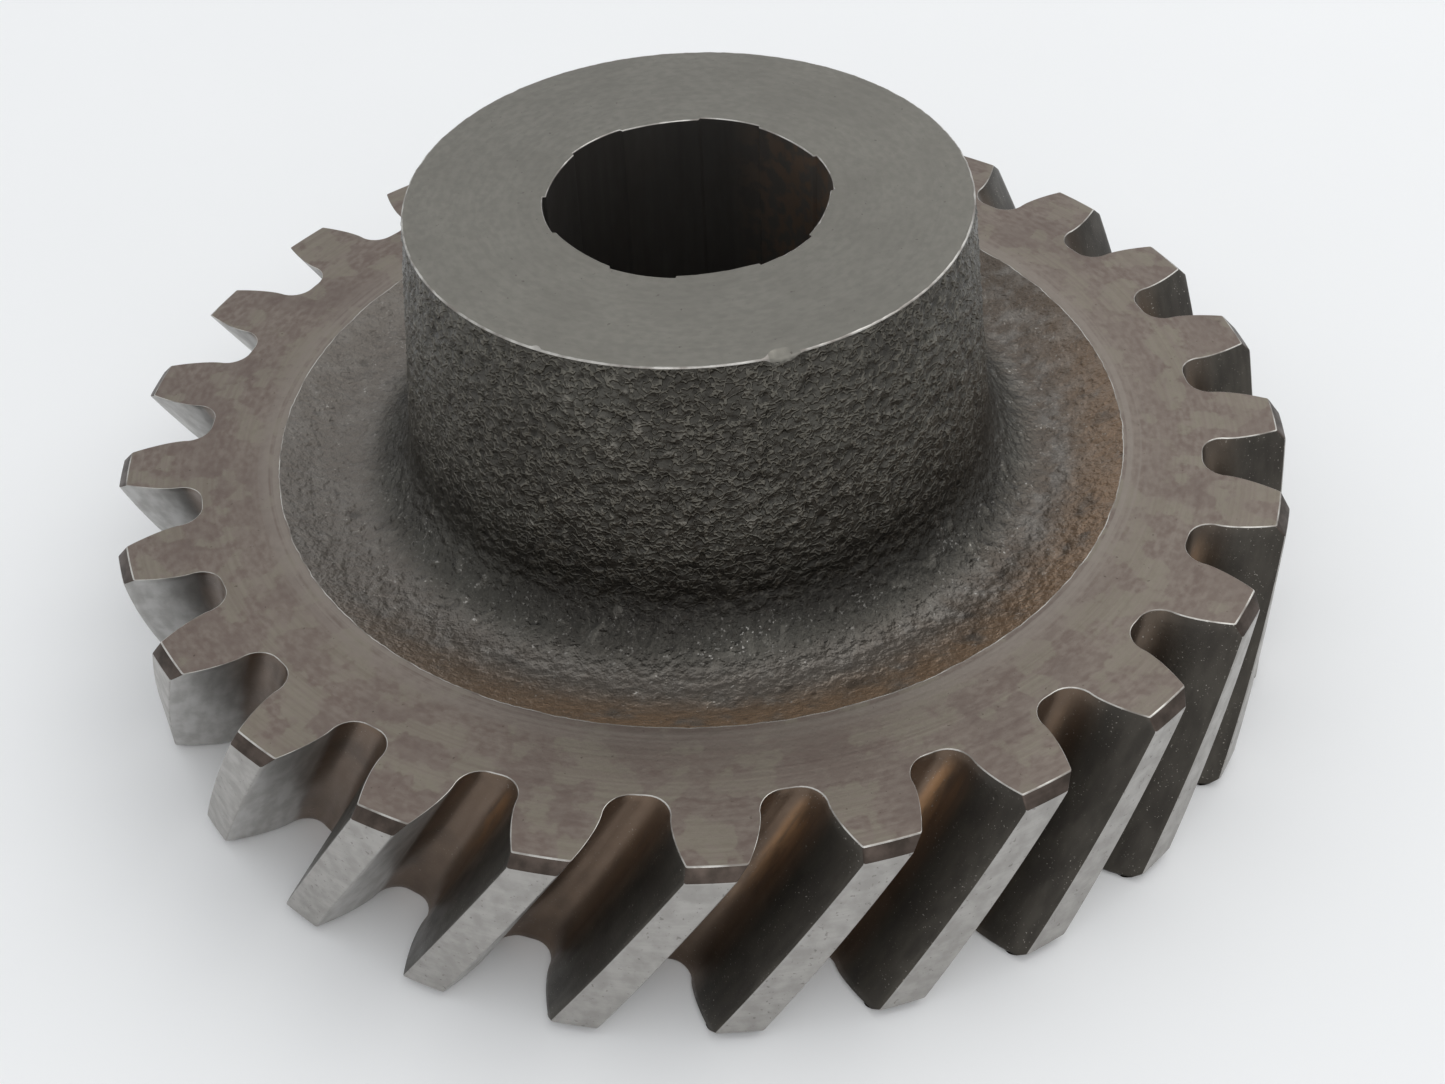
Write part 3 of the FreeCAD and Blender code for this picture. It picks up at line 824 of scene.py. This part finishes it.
def make_materials():
    recess_band = (RECESS_RADIUS + 0.6, 2.8)
    return {
        "cast_skin": cast_skin(),
        "hub_end": turned_face(
            "hub_end", light=tint(133, 130, 122), dark=tint(124, 121, 114), stain=tint(119, 116, 109),
            line=0.16, line_depth=0.004),
        "rim_face": turned_face(
            "rim_face", light=tint(134, 124, 115), dark=tint(116, 103, 96), stain=tint(110, 98, 92),
            line=0.34, line_depth=0.010, patches=0.5, band=recess_band),
        "back_face": turned_face(
            "back_face", light=tint(126, 122, 115), dark=tint(106, 99, 93), stain=tint(94, 87, 81),
            line=0.3, line_depth=0.010, patches=0.3),
        "land": tooth_top("tooth_land", tint(172, 169, 165), tint(156, 153, 149)),
        "chamfer": tooth_top("tooth_chamfer", tint(88, 78, 72), tint(64, 57, 52)),
        "flank": tooth_flank(),
        "edge": bright_edge(),
        "bore": bore_wall(),
    }


# ---------------------------------------------------------------- stage, light and camera

def build_floor():
    """A plain floor that rises in a soft curve well behind the gear."""
    half, curve, rise, steps = 1.6, 0.5, 1.2, 12
    profile = [(-half, 0.0), (half - curve, 0.0)]
    for step in range(1, steps + 1):
        turn = math.pi / 2 * step / steps
        profile.append((half - curve + curve * math.sin(turn), curve - curve * math.cos(turn)))
    profile.append((half, rise))
    vertices = [(side * half, y, z) for y, z in profile for side in (-1, 1)]
    faces = [(2 * n, 2 * n + 1, 2 * n + 3, 2 * n + 2) for n in range(len(profile) - 1)]
    mesh = bpy.data.meshes.new("floor")
    mesh.from_pydata(vertices, [], faces)
    mesh.polygons.foreach_set("use_smooth", np.ones(len(faces), bool))
    mesh.materials.append(pale_floor())
    floor = bpy.data.objects.new("floor", mesh)
    bpy.context.scene.collection.objects.link(floor)


def add_light(name, place, size, power, colour=(1.0, 1.0, 1.0)):
    """A round soft light that points at the origin."""
    light = bpy.data.lights.new(name, "AREA")
    light.shape = "DISK"
    light.size = size
    light.energy = power
    light.color = colour
    lamp = bpy.data.objects.new(name, light)
    lamp.location = place
    lamp.rotation_euler = (-Vector(place)).to_track_quat("-Z", "Y").to_euler()
    bpy.context.scene.collection.objects.link(lamp)


def light_scene():
    """An even pale surrounding, a large soft key at the right and a weak fill in front."""
    scene = bpy.context.scene
    scene.view_settings.view_transform = "Standard"
    scene.view_settings.look = "None"
    world = bpy.data.worlds.new("studio")
    world.use_nodes = True
    background = world.node_tree.nodes["Background"]
    background.inputs["Color"].default_value = (0.95, 0.975, 1.0, 1.0)
    background.inputs["Strength"].default_value = 0.83
    scene.world = world
    add_light("key", place=(0.52, 0.12, 0.80), size=0.90, power=1.85, colour=(1.0, 0.99, 0.97))
    add_light("fill", place=(-0.12, -0.62, 0.60), size=0.60, power=0.9)


# Where the camera stands from the middle of the rim face, in metres, and how it is turned.
EYE = Vector((-0.02742, -0.15032, 0.12242))
HEADING = math.radians(-10.72)
TILT = math.radians(47.117)
ROLL = math.radians(-2.79)


def place_camera():
    """The camera stands in front of the gear, a little to its left, and looks down at the rim face."""
    camera = bpy.data.cameras.new("camera")
    camera.sensor_width = 36.0
    camera.lens = 50.11
    camera.shift_x = 0.0036
    camera.shift_y = 0.0160
    camera.clip_start = 0.01
    camera.dof.use_dof = False
    eye = bpy.data.objects.new("camera", camera)
    look = Matrix.Rotation(HEADING, 4, "Z") @ Matrix.Rotation(TILT, 4, "X")
    stand = Matrix.Translation(EYE + Vector((0.0, 0.0, FACE * MM)))
    eye.matrix_world = stand @ look @ Matrix.Rotation(ROLL, 4, "Z")
    bpy.context.scene.collection.objects.link(eye)
    bpy.context.scene.camera = eye


metals = make_materials()
build_toothed_rim(metals)
build_hub_and_web(metals)
build_floor()
light_scene()
place_camera()
